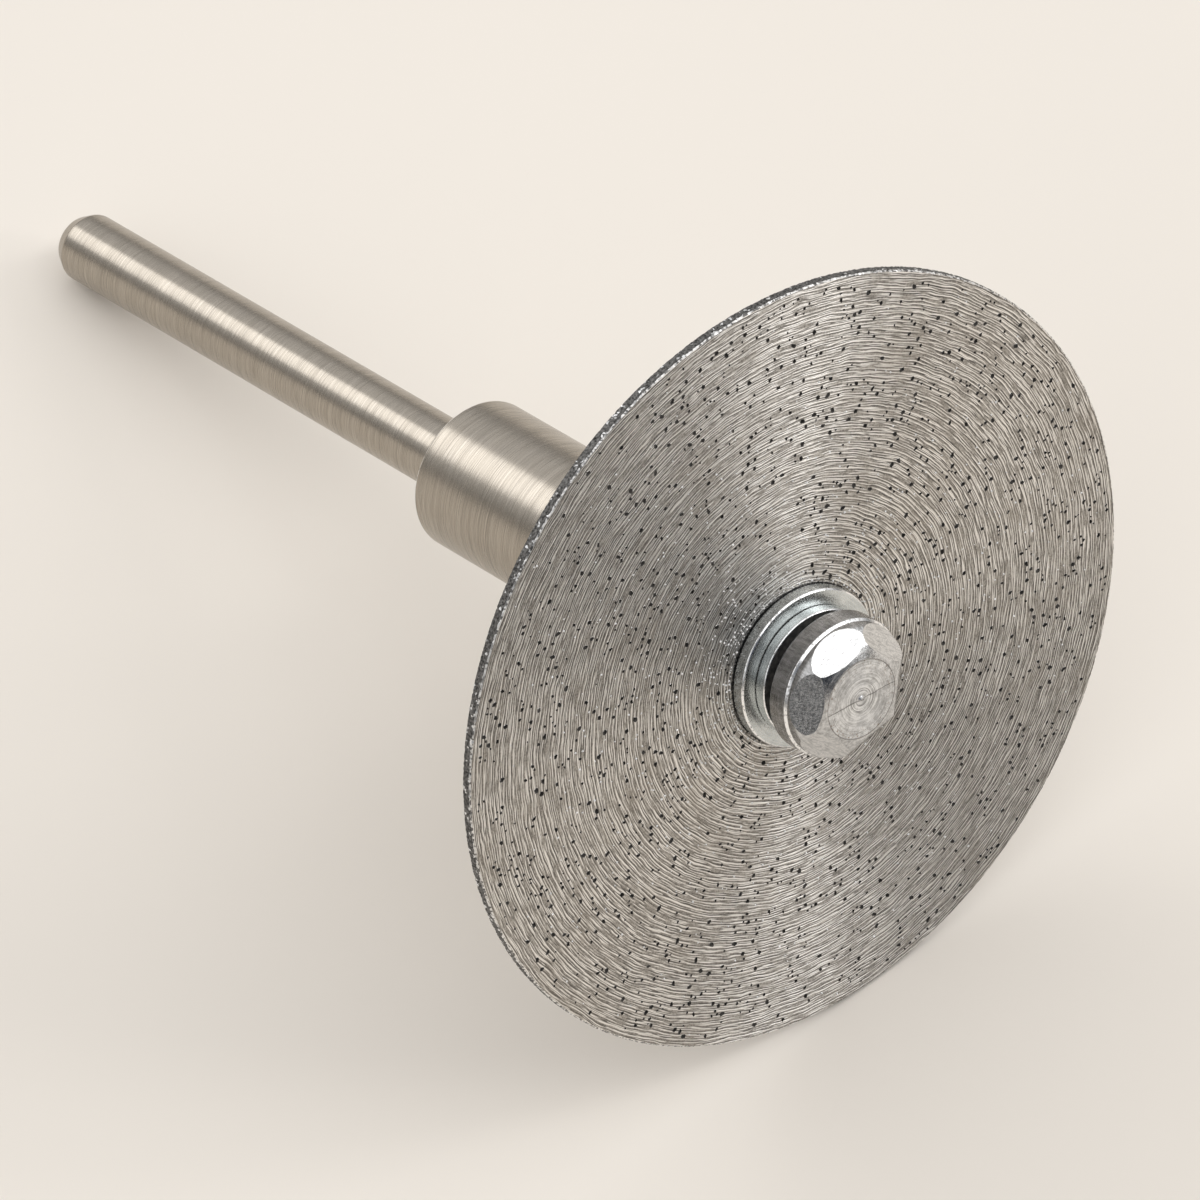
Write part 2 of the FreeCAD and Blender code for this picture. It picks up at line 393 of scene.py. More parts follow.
def spring_washer_mesh():
    """A split ring, whose two ends face each other across a slanted gap and whose front is painted dark
    as shade.
    """
    back = BLADE_THICKNESS + FLAT_WASHER_THICKNESS
    front = back + SPRING_WASHER_THICKNESS
    middle = (back + front) / 2
    profile = softened([
        (BORE_RADIUS, back),
        (SPRING_WASHER_RADIUS - SPRING_WASHER_BEVEL, back),
        (SPRING_WASHER_RADIUS, back + SPRING_WASHER_BEVEL),
        (SPRING_WASHER_RADIUS, front - SPRING_WASHER_BEVEL),
        (SPRING_WASHER_RADIUS - SPRING_WASHER_BEVEL, front),
        (BORE_RADIUS, front),
    ], WASHER_WEAR, closed=True)
    half_gap = SPRING_WASHER_GAP / 2 / math.cos(math.radians(SPRING_WASHER_GAP_SLANT))
    lean = math.tan(math.radians(SPRING_WASHER_GAP_SLANT))
    outline = Outline()
    sections = []
    for index in range(ROUND_SEGMENTS + 1):
        share = index / ROUND_SEGMENTS
        points = []
        for radius, height in profile:
            shift = lean * (height - middle)
            start = math.asin((half_gap - shift) / radius)
            end = 2 * math.pi - math.asin((half_gap + shift) / radius)
            angle = math.radians(SPRING_WASHER_TURN) + start + (end - start) * share
            points.append((radius * math.cos(angle), radius * math.sin(angle), height))
        sections.append(outline.add_ring(points))
    for first, second in zip(sections, sections[1:]):
        outline.join_rings(first, second)
    outline.add_face(sections[0])
    outline.add_face(sections[-1], flip=True)
    bm = outline.to_bmesh()
    bmesh.ops.recalc_face_normals(bm, faces=bm.faces)
    sharpen(bm)
    # The front face and the back bevel get painted shade.
    mark_band(bm, WASHER_SHADE, 0, front - LEVEL_MARGIN, front + LEVEL_MARGIN, bevels_only=False)
    mark_band(bm, WASHER_SHADE, BORE_RADIUS, back, back + SPRING_WASHER_BEVEL, bevels_only=False)
    # The front bevel gets a painted glint.
    inner_radius = SPRING_WASHER_RADIUS - SPRING_WASHER_BEVEL - MARK_MARGIN
    mark_band(bm, WASHER_EDGE, inner_radius, front - SPRING_WASHER_BEVEL - MARK_MARGIN, front)
    return bm


def clamp_screw_mesh():
    """Thread, head and crown, turned, with six facets ground on the crown."""
    slope = math.radians(CROWN_SLOPE)
    rise = FLAT_LEVEL - CROWN_FOOT - (CROWN_RADIUS - FLAT_RADIUS) * math.tan(slope)
    round_radius = rise / (math.cos(slope) - (1 - math.sin(slope)) * math.tan(slope))
    round_centre = CROWN_RADIUS - round_radius
    turned_back = softened([
        (0, THREAD_END),
        (THREAD_RADIUS - THREAD_TIP_CHAMFER, THREAD_END),
        (THREAD_RADIUS, THREAD_END + THREAD_TIP_CHAMFER),
        (THREAD_RADIUS, RELIEF_START - (THREAD_RADIUS - RELIEF_RADIUS)),
        (RELIEF_RADIUS, RELIEF_START),
        (RELIEF_RADIUS, HEAD_SEAT_LEVEL),
        (HEAD_SEAT_RADIUS, HEAD_SEAT_LEVEL),
        (HEAD_SEAT_RADIUS, HEAD_BACK),
        (HEAD_RADIUS - HEAD_RIM_BEVEL, HEAD_BACK),
        (HEAD_RADIUS, HEAD_BACK + HEAD_RIM_BEVEL),
        (HEAD_RADIUS, CROWN_FOOT - HEAD_RIM_BEVEL),
        (CROWN_RADIUS, CROWN_FOOT),
    ], SCREW_WEAR)
    crown_edge = []
    for step in range(1, CROWN_STEPS + 1):
        turn = (math.radians(90) - slope) * step / CROWN_STEPS
        radius = round_centre + round_radius * math.cos(turn)
        crown_edge.append((radius, CROWN_FOOT + round_radius * math.sin(turn)))
    flat_and_pip = softened([
        crown_edge[-1],
        (FLAT_RADIUS, FLAT_LEVEL),
        (PIP_RADIUS, FLAT_LEVEL),
        (PIP_TOP_RADIUS, FLAT_LEVEL + PIP_HEIGHT),
        (0, FLAT_LEVEL + PIP_HEIGHT),
    ], FLAT_EDGE_WEAR)
    bm = turned(turned_back + crown_edge + flat_and_pip[1:])
    sharpen(bm)
    for facet in range(FACET_COUNT):
        grind_facet(bm, math.radians(FACET_TURN + 360 * facet / FACET_COUNT))
    bmesh.ops.recalc_face_normals(bm, faces=bm.faces)
    # Faces below the head's back get painted shade.
    for face in bm.faces:
        height = face.calc_center_median().z / MM
        if face.material_index == SCREW_SIDE and height > FLAT_LEVEL - LEVEL_MARGIN:
            face.material_index = SCREW_FLAT
        elif height < HEAD_BACK + MARK_MARGIN:
            face.material_index = SCREW_SHADE
    # The head's rim bevels get a painted glint.
    mark_band(bm, SCREW_EDGE, CROWN_RADIUS - MARK_MARGIN, HEAD_BACK, CROWN_FOOT)
    return bm


def grind_facet(bm, turn):
    """Cuts one sloping flat off the shoulder, with hard edges round it."""
    slope = math.radians(FACET_SLOPE)
    outward = Vector((math.cos(turn), math.sin(turn), 0))
    normal = outward * math.sin(slope) + Vector((0, 0, math.cos(slope)))
    point = outward * CROWN_RADIUS + Vector((0, 0, CROWN_FOOT + FACET_FOOT_HEIGHT))
    everything = list(bm.verts) + list(bm.edges) + list(bm.faces)
    cut = bmesh.ops.bisect_plane(
        bm, geom=everything, dist=CUT_NEARNESS, plane_co=point * MM, plane_no=normal, clear_outer=True
    )
    edges = [item for item in cut["geom_cut"] if isinstance(item, bmesh.types.BMEdge)]
    made = bmesh.ops.contextual_create(bm, geom=edges)
    for face in made["faces"]:
        face.material_index = SCREW_FACET
        face.smooth = True
    for edge in edges:
        edge.smooth = False


class Scatter:
    """Round places on a blade face that keep clear of each other."""

    def __init__(self):
        self.cells = {}

    def cell(self, centre):
        return int(centre.x // SCATTER_CELL), int(centre.y // SCATTER_CELL)

    def is_free(self, centre, reach):
        column, row = self.cell(centre)
        for near_column in (column - 1, column, column + 1):
            for near_row in (row - 1, row, row + 1):
                for other, other_reach in self.cells.get((near_column, near_row), ()):
                    if (centre - other).length < reach + other_reach + PIT_CLEARANCE:
                        return False
        return True

    def take(self, centre, reach):
        self.cells.setdefault(self.cell(centre), []).append((centre, reach))


def polar(radius, angle):
    return Vector((radius * math.cos(angle), radius * math.sin(angle)))


def pit_outlines(rng, scatter):
    """Centres, outlines and depths of pits scattered over a blade face, many in small clusters."""
    placed = []

    def try_pit(centre):
        size = PIT_SIZES[0] + (PIT_SIZES[1] - PIT_SIZES[0]) * rng.random() ** PIT_SIZE_EXPONENT
        stretch = 1 + PIT_STRETCH * rng.random()
        reach = size * stretch
        if not PIT_INNER_LIMIT + reach < centre.length < PIT_OUTER_LIMIT - reach:
            return
        if not scatter.is_free(centre, reach):
            return
        scatter.take(centre, reach)
        sides = rng.choice(PIT_SIDES)
        lean = Matrix.Rotation(rng.random() * math.pi, 2)
        outline = []
        for side in range(sides):
            angle = 2 * math.pi * (side + PIT_CORNER_JITTER * rng.random()) / sides
            outline.append(lean @ Vector((reach * math.cos(angle), size * math.sin(angle))))
        depth = PIT_DEPTHS[0] + (PIT_DEPTHS[1] - PIT_DEPTHS[0]) * rng.random()
        placed.append((centre, outline, depth))

    while len(placed) < PIT_COUNT:
        middle = polar(PIT_OUTER_LIMIT * math.sqrt(rng.random()), 2 * math.pi * rng.random())
        try_pit(middle)
        if rng.random() < CLUSTER_SHARE:
            for _ in range(rng.choice(CLUSTER_COUNTS)):
                try_pit(middle + polar(rng.uniform(*CLUSTER_REACH), 2 * math.pi * rng.random()))
    return placed


def add_grains(outline, level, rng, scatter):
    """Broken crystals half sunk in a blade face, clear of its pits."""
    placed = 0
    while placed < GRAIN_COUNT:
        share = rng.random() ** GRAIN_CROWDING
        radius = GRAIN_INNER_LIMIT + (GRAIN_OUTER_LIMIT - GRAIN_INNER_LIMIT) * share
        centre = polar(radius, 2 * math.pi * rng.random())
        size = rng.uniform(*GRAIN_SIZES)
        if not scatter.is_free(centre, size):
            continue
        scatter.take(centre, size)
        placed += 1
        lean = rng.random() * math.pi
        middle = Vector((centre.x, centre.y, level))
        ends = [Vector((0, 0, side * size * rng.uniform(*GRAIN_END_SHARES))) for side in (-1, 1)]
        waist = []
        for corner in range(GRAIN_CORNERS):
            turn = lean + 2 * math.pi * corner / GRAIN_CORNERS
            reach = polar(size * rng.uniform(*GRAIN_CORNER_SHARES), turn)
            waist.append(Vector((reach.x, reach.y, size * rng.uniform(*GRAIN_WAIST_SHARES))))
        low, high = [outline.add_ring([middle + end]) for end in ends]
        ring = outline.add_ring([middle + point for point in waist])
        for corner in range(GRAIN_CORNERS):
            after = (corner + 1) % GRAIN_CORNERS
            outline.add_face((ring[corner], ring[after], high[0]))
            outline.add_face((ring[after], ring[corner], low[0]))


def pitted_face(outline, rim, bore, level, outward, pits):
    """One flat face of the blade between its rim and bore rings, broken by real pits."""
    flip = outward < 0
    plane_ids = list(rim) + list(bore)
    hole_of = [None] * len(rim) + ["bore"] * len(bore)
    edges = []
    for start, count in ((0, len(rim)), (len(rim), len(bore))):
        edges += [(start + index, start + (index + 1) % count) for index in range(count)]
    for number, (centre, shape, depth) in enumerate(pits):
        rings = []
        for scale, rise in ((1.0, 0.0), (PIT_LIP_SCALE, PIT_LIP_HEIGHT), (PIT_FLOOR_SCALE, -depth)):
            points = [(*(centre + point * scale), level + outward * rise) for point in shape]
            rings.append(outline.add_ring(points))
        outline.join_rings(rings[0], rings[1], BLADE_FACE, flip)
        # The pit's walls and floor get painted shadow.
        outline.join_rings(rings[1], rings[2], BLADE_SHADE, flip)
        outline.add_face(rings[2], BLADE_SHADE, flip)
        start = len(plane_ids)
        plane_ids += rings[0]
        hole_of += [number] * len(shape)
        count = len(shape)
        edges += [(start + index, start + (index + 1) % count) for index in range(count)]
    flat_points = [Vector(outline.vertices[index][:2]) for index in plane_ids]
    filled = delaunay_2d_cdt(flat_points, edges, [], FILL_WITH_POLYGONS, FILL_NEARNESS)
    polygons = filled[2]
    originals = filled[3]
    for polygon in polygons:
        corners = [originals[corner][0] for corner in polygon]
        holes = {hole_of[corner] for corner in corners}
        if len(holes) > 1 or None in holes:
            outline.add_face([plane_ids[corner] for corner in corners], BLADE_FACE, flip)


def blade_meshes():
    """The disc with its gritty rim, pitted faces and centre hole, and the grains on its faces."""
    rng = random.Random(BLADE_SEED)
    outline = Outline()
    rim_rings = []
    for level in RIM_LEVELS:
        on_corner = level in (0.0, BLADE_THICKNESS)
        nominal = BLADE_RADIUS - (BLADE_RIM_CHAMFER if on_corner else 0)
        points = []
        for column in range(RIM_COLUMNS):
            aside = rng.uniform(-RIM_COLUMN_JITTER, RIM_COLUMN_JITTER)
            angle = 2 * math.pi * (column + aside) / RIM_COLUMNS
            radius = nominal - RIM_GRIT_DEPTH * rng.random() ** 2
            height = level if on_corner else level + rng.uniform(-RIM_LEVEL_JITTER, RIM_LEVEL_JITTER)
            points.append((radius * math.cos(angle), radius * math.sin(angle), height))
        rim_rings.append(outline.add_ring(points))
    # The back corner of the rim gets the dark finish of the pits.
    band_finishes = [BLADE_SHADE] + [BLADE_RIM] * (len(RIM_LEVELS) - 3) + [BLADE_RIM_EDGE]
    for low, high, finish in zip(rim_rings, rim_rings[1:], band_finishes):
        outline.join_rings(low, high, finish)
    bore_rings = []
    for level in (0, BLADE_THICKNESS):
        bore_rings.append(outline.add_ring(circle(BORE_RADIUS, level, BORE_COLUMNS)))
    outline.join_rings(bore_rings[0], bore_rings[1], BLADE_FACE, flip=True)
    grains = Outline()
    for index, level, outward in ((0, 0.0, -1), (1, BLADE_THICKNESS, 1)):
        scatter = Scatter()
        pits = pit_outlines(rng, scatter)
        pitted_face(outline, rim_rings[-index], bore_rings[index], level, outward, pits)
        add_grains(grains, level, rng, scatter)
    disc = outline.to_bmesh()
    bmesh.ops.triangulate(disc, faces=[face for face in disc.faces if len(face.verts) > 3])
    return disc, grains.to_bmesh()


class Finish:
    """A material made of nodes. Most methods add what they are named for and return its output."""

    def __init__(self, name):
        self.material = bpy.data.materials.new(name)
        self.material.use_nodes = True
        self.tree = self.material.node_tree
        self.shader = self.tree.nodes["Principled BSDF"]

    def feed(self, socket, value):
        if isinstance(value, bpy.types.NodeSocket):
            self.tree.links.new(value, socket)
        else:
            socket.default_value = value

    def add(self, kind, inputs, output=0, **settings):
        node = self.tree.nodes.new(kind)
        for name, value in settings.items():
            setattr(node, name, value)
        for key, value in inputs.items():
            self.feed(node.inputs[key], value)
        return node.outputs[output]

    def math(self, operation, first, second=0.0):
        return self.add("ShaderNodeMath", {0: first, 1: second}, operation=operation)

    def plus(self, first, second):
        return self.math("ADD", first, second)

    def times(self, first, second):
        return self.math("MULTIPLY", first, second)

    def vector(self, operation, first, second, output=0):
        return self.add("ShaderNodeVectorMath", {0: first, 1: second}, output, operation=operation)

    def length(self, vector):
        return self.vector("LENGTH", vector, (0, 0, 0), 1)

    def split(self, vector):
        node = self.tree.nodes.new("ShaderNodeSeparateXYZ")
        self.feed(node.inputs[0], vector)
        return node.outputs[0], node.outputs[1], node.outputs[2]

    def joined(self, x, y, z):
        return self.add("ShaderNodeCombineXYZ", {0: x, 1: y, 2: z})

    def drawn_round(self, x, y, course, along, over):
        """A place for noise drawn out round the axis: slow along x and y, quick over a course."""
        return self.joined(self.times(x, along), self.times(y, along), self.times(course, over))

    def noise(self, vector, scale=1.0, detail=2.0, roughness=0.5):
        inputs = {"Vector": vector, "Scale": scale, "Detail": detail, "Roughness": roughness}
        return self.add("ShaderNodeTexNoise", inputs)

    def cells(self, vector, scale):
        return self.add("ShaderNodeTexVoronoi", {"Vector": vector, "Scale": scale}, "Color")

    def remap(self, value, low, high, new_low=0.0, new_high=1.0):
        inputs = {0: value, 1: low, 2: high, 3: new_low, 4: new_high}
        return self.add("ShaderNodeMapRange", inputs)

    def mixed(self, factor, first, second):
        return self.add("ShaderNodeMix", {0: factor, 6: first, 7: second}, 2, data_type="RGBA")

    def hairline(self, value, width):
        """One where a value passes through a half, fading to zero on both sides."""
        aside = self.math("ABSOLUTE", self.math("SUBTRACT", value, 0.5))
        return self.remap(aside, width, 0.0)

    def bump(self, height, strength, distance):
        inputs = {"Strength": strength, "Distance": distance, "Height": height}
        return self.add("ShaderNodeBump", inputs)

    def own_place(self):
        """The point in the tool's own frame, in millimetres."""
        coordinates = self.tree.nodes.new("ShaderNodeTexCoord")
        inputs = {
            "Vector": coordinates.outputs["Object"],
            "Location": tool.to_translation(),
            "Rotation": tool.to_euler(),
            "Scale": (MM, MM, MM),
        }
        return self.add("ShaderNodeMapping", inputs, vector_type="TEXTURE")

    def set(self, **values):
        for name, value in values.items():
            self.feed(self.shader.inputs[name.replace("_", " ")], value)

    def brush_across(self, direction):
        """Spreads reflections along a direction in the tool's own frame, as fine lines across it do."""
        inputs = {"Vector": direction, "Rotation": tool.to_euler()}
        laid = self.add("ShaderNodeMapping", inputs, vector_type="NORMAL")
        world = self.add(
            "ShaderNodeVectorTransform", {0: laid},
            vector_type="VECTOR", convert_from="OBJECT", convert_to="WORLD",
        )
        self.feed(self.shader.inputs["Tangent"], world)


def grey(level, warmth=0.0):
    """A colour near grey, warmer for a positive warmth and cooler for a negative one."""
    return (level * (1 + warmth), level, level * (1 - 1.3 * warmth), 1)


def blade_face_finish():
    """Steel with fine concentric scratches, their ridges a painted highlight beside furrows in painted
    shade, warm stains, and painted contact shade with residue at its seats.
    """
    finish = Finish("blade_face")
    place = finish.own_place()
    x, y, z = finish.split(place)
    radius = finish.length(finish.joined(x, y, 0.0))
    sway = finish.remap(finish.noise(place, 0.6, 2.0), 0.2, 0.8, -0.07, 0.07)
    wavy_radius = finish.plus(radius, sway)

    def streaks(along, over, shift=0.0):
        vector = finish.drawn_round(x, y, finish.plus(wavy_radius, shift), along, over)
        return finish.noise(vector, 1.0, 1.0, 0.5)

    def scores(spacing, along, shift):
        """Ridges that get a painted highlight and the furrows beside them that get painted shade, which
        wander together and fade in and out.
        """
        drift = finish.times(streaks(along, 1.5, shift), 1.8)
        course = finish.plus(finish.math("DIVIDE", wavy_radius, spacing), drift)
        strength = finish.remap(streaks(2.2 * along, 0.8 / spacing, shift + 5.0), 0.4, 0.55, 0.0, 1.3)
        ridge = finish.hairline(finish.math("FRACT", course), 0.23)
        furrow = finish.hairline(finish.math("FRACT", finish.plus(course, 0.33)), 0.24)
        return finish.times(ridge, strength), finish.times(furrow, strength)

    highlit_ridges, shaded_furrows = scores(0.17, 0.4, 0.0)
    thin_highlit_ridges, thin_shaded_furrows = scores(0.11, 0.6, 7.0)
    fine = finish.remap(streaks(0.8, 24.0), 0.36, 0.64)
    grain = finish.remap(finish.noise(place, 13.0, 2.0), 0.37, 0.63)
    light = finish.math("MAXIMUM", highlit_ridges, thin_highlit_ridges)
    dark = finish.math("MAXIMUM", shaded_furrows, thin_shaded_furrows)
    lines = finish.math("SUBTRACT", finish.plus(light, finish.times(fine, 0.4)), dark)
    stains = finish.remap(finish.noise(place, 0.4, 3.0), 0.5, 0.75, 0.0, 0.3)
    ground = finish.plus(finish.times(fine, 0.5), finish.times(grain, 0.5))
    colour = finish.mixed(ground, grey(0.165, 0.07), grey(0.53, 0.06))
    # Furrows are painted dark and ridges painted light, as shade and highlight on scores lit from one
    # side.
    colour = finish.mixed(finish.times(dark, 0.65), colour, grey(0.045, 0.06))
    colour = finish.mixed(light, colour, grey(0.9, 0.03))
    colour = finish.mixed(stains, colour, grey(0.3, 0.12))
    # A thin dark ring round the washer and collar seats is painted contact shade, with some grinding
    # residue.
    seat_radius = finish.remap(z, 0.0, BLADE_THICKNESS, COLLAR_RADIUS, FLAT_WASHER_RADIUS)
    beyond_seat = finish.math("SUBTRACT", radius, seat_radius)
    clear_of_seat_shade = finish.remap(finish.plus(beyond_seat, finish.times(grain, 0.1)), 0.06, 0.18)
    colour = finish.mixed(clear_of_seat_shade, grey(0.05), colour)
    finish.set(Base_Color=colour, Metallic=1.0, Anisotropic=0.75)
    finish.set(Roughness=finish.remap(light, 0.0, 1.0, 0.48, 0.36))
    finish.set(Normal=finish.bump(lines, 0.4, 0.02 * MM))
    finish.brush_across(finish.joined(x, y, 0.0))
    return finish.material


def pit_shadow_finish():
    """Painted shadow in the pits' walls and bottoms; the rim's back corner gets it too."""
    finish = Finish("blade_painted_shade")
    shade = finish.remap(finish.noise(finish.own_place(), 8.0, 2.0), 0.35, 0.65)
    finish.set(Base_Color=finish.mixed(shade, grey(0.015, 0.05), grey(0.07, 0.08)))
    finish.set(Metallic=0.3, Roughness=0.6)
    return finish.material


def grain_finish():
    """Pale crystals, clear enough to glint."""
    finish = Finish("blade_grains")
    tint = finish.cells(finish.own_place(), 6.0)
    shade = finish.remap(finish.length(tint), 0.4, 1.4)
    finish.set(Base_Color=finish.mixed(shade, grey(0.75, 0.02), grey(0.97)))
    finish.set(Metallic=0.0, Roughness=0.12, IOR=2.4)
    return finish.material


def rim_finish():
    """Grey grit worn level, finely speckled light and dark."""
    finish = Finish("blade_rim_grit")
    place = finish.own_place()
    shade = finish.remap(finish.noise(place, 9.0, 3.0), 0.35, 0.65)
    grains = finish.remap(finish.cells(place, 9.0), 0.8, 0.86)
    colour = finish.mixed(shade, grey(0.03, 0.03), grey(0.2, 0.03))
    finish.set(Base_Color=finish.mixed(grains, colour, grey(0.8)))
    finish.set(Metallic=0.75, Roughness=finish.remap(grains, 0.0, 1.0, 0.5, 0.3))
    return finish.material


def rim_edge_finish():
    """The worn corner of the rim, bright where grains are broken through."""
    finish = Finish("blade_rim_edge")
    place = finish.own_place()
    grains = finish.remap(finish.cells(place, 9.0), 0.3, 0.5)
    finish.set(Base_Color=finish.mixed(grains, grey(0.16, 0.03), grey(0.75, 0.02)))
    finish.set(Metallic=0.85, Roughness=0.35)
    return finish.material


def crevice_shade_finish():
    """Painted shade where the washers seat and in the gap under the screw head."""
    finish = Finish("painted_crevice_shade")
    shade = finish.remap(finish.noise(finish.own_place(), 5.0, 2.0), 0.35, 0.65)
    finish.set(Base_Color=finish.mixed(shade, grey(0.04), grey(0.1, 0.05)), Metallic=0.2, Roughness=0.5)
    return finish.material


def painted_glint_finish():
    """Bevels painted bright as a glint, with a few dull nicks."""
    finish = Finish("painted_glint")
    nicks = finish.remap(finish.noise(finish.own_place(), 6.0, 3.0), 0.36, 0.46)
    finish.set(Base_Color=finish.mixed(nicks, grey(0.45, 0.02), grey(0.93)), Metallic=1.0)
    finish.set(Roughness=finish.remap(nicks, 0.0, 1.0, 0.35, 0.2))
    return finish.material


def turned_steel_finish():
    """Satin steel with very fine lines round it and two faint sets of slanting ones."""
    finish = Finish("mandrel_steel")
    place = finish.own_place()
    x, y, z = finish.split(place)
    radius = finish.length(finish.joined(x, y, 0.0))
    course = finish.plus(radius, z)

    def lines(along, over, slant):
        level = finish.plus(course, finish.times(x, slant))
        vector = finish.drawn_round(x, y, level, along, over)
        return finish.remap(finish.noise(vector, 1.0, 2.0, 0.6), 0.3, 0.7)

    straight = lines(0.2, 30.0, 0.0)
    leaning = lines(0.7, 24.0, 0.22)
    counter = lines(0.7, 24.0, -0.22)
    crossed = finish.times(finish.plus(leaning, counter), 0.5)
    height = finish.plus(straight, finish.times(crossed, 0.25))
    cloud = finish.remap(finish.noise(place, 0.9, 4.0, 0.6), 0.35, 0.65)
    colour = finish.mixed(straight, grey(0.26, 0.12), grey(0.45, 0.1))
    colour = finish.mixed(finish.remap(crossed, 0.45, 0.2, 0.0, 0.3), colour, grey(0.2, 0.11))
    colour = finish.mixed(finish.remap(crossed, 0.6, 0.85, 0.0, 0.3), colour, grey(0.6, 0.09))
    colour = finish.mixed(finish.times(cloud, 0.25), colour, grey(0.36, 0.13))
    finish.set(Base_Color=colour, Metallic=1.0, Anisotropic=0.7)
    finish.set(Roughness=finish.remap(straight, 0.0, 1.0, 0.3, 0.22))
    finish.set(Normal=finish.bump(height, 0.1, 0.008 * MM))
    finish.brush_across(finish.joined(0.0, 0.0, 1.0))
    return finish.material


def zinc_finish():
    """Bright bluish plating over fine rolled and turned marks."""
    finish = Finish("washer_zinc")
    place = finish.own_place()
    x, y, z = finish.split(place)
    radius = finish.length(finish.joined(x, y, 0.0))
    vector = finish.drawn_round(x, y, finish.plus(radius, z), 0.9, 13.0)
    marks = finish.remap(finish.noise(vector, 1.0, 2.0, 0.6), 0.3, 0.7)
    grain = finish.remap(finish.noise(place, 14.0, 2.0), 0.3, 0.7)
    cloud = finish.remap(finish.noise(place, 1.4, 2.0), 0.35, 0.65)
    colour = finish.mixed(cloud, (0.5, 0.525, 0.525, 1), (0.63, 0.65, 0.645, 1))
    colour = finish.mixed(finish.times(marks, 0.5), colour, (0.8, 0.82, 0.81, 1))
    colour = finish.mixed(finish.remap(grain, 0.35, 0.1, 0.0, 0.35), colour, (0.33, 0.345, 0.34, 1))
    finish.set(Base_Color=colour, Metallic=1.0, Anisotropic=0.4)
    finish.set(Roughness=finish.remap(grain, 0.0, 1.0, 0.2, 0.32))
    finish.set(Normal=finish.bump(finish.plus(marks, grain), 0.2, 0.01 * MM))
    finish.brush_across(finish.joined(x, y, 0.0))
    return finish.material


def screw_side_finish():
    """Turned steel of the head's side and crown, with short marks drawn along it."""
    finish = Finish("screw_side")
    place = finish.own_place()
    x, y, z = finish.split(place)
    turns = finish.drawn_round(x, y, z, 0.8, 12.0)
    marks = finish.remap(finish.noise(turns, 1.0, 2.0, 0.6), 0.3, 0.7)
    drawn_along = finish.vector("MULTIPLY", place, (8.0, 8.0, 1.5))
    draws = finish.remap(finish.noise(drawn_along, 1.0, 2.0), 0.3, 0.7)
    colour = finish.mixed(draws, grey(0.34, 0.01), grey(0.66))
    colour = finish.mixed(finish.remap(marks, 0.6, 0.9, 0.0, 0.5), colour, grey(0.8))
    finish.set(Base_Color=colour, Metallic=1.0)
    finish.set(Roughness=finish.remap(marks, 0.0, 1.0, 0.16, 0.28))
    finish.set(Normal=finish.bump(finish.plus(marks, draws), 0.15, 0.01 * MM))
    return finish.material


def screw_facet_finish():
    """Ground facets: bright, with fine parallel scratches and a few darker ones."""
    finish = Finish("screw_facet")
    place = finish.own_place()
    along = finish.noise(finish.vector("MULTIPLY", place, (1.2, 1.2, 9.0)), 1.0, 1.0)
    scratches = finish.hairline(along, 0.07)
    leaning = finish.noise(finish.vector("MULTIPLY", place, (9.0, 1.5, 5.0)), 1.0, 1.0)
    nicks = finish.hairline(leaning, 0.02)
    grain = finish.remap(finish.noise(place, 12.0, 2.0), 0.3, 0.7)
    colour = finish.mixed(grain, grey(0.58), grey(0.76, 0.005))
    colour = finish.mixed(finish.times(scratches, 0.5), colour, grey(0.3, 0.01))
    colour = finish.mixed(finish.times(nicks, 0.6), colour, grey(0.2, 0.02))
    finish.set(Base_Color=colour, Metallic=1.0)
    finish.set(Roughness=finish.remap(grain, 0.0, 1.0, 0.1, 0.22))
    finish.set(Normal=finish.bump(finish.plus(scratches, nicks), 0.12, 0.008 * MM))
    return finish.material


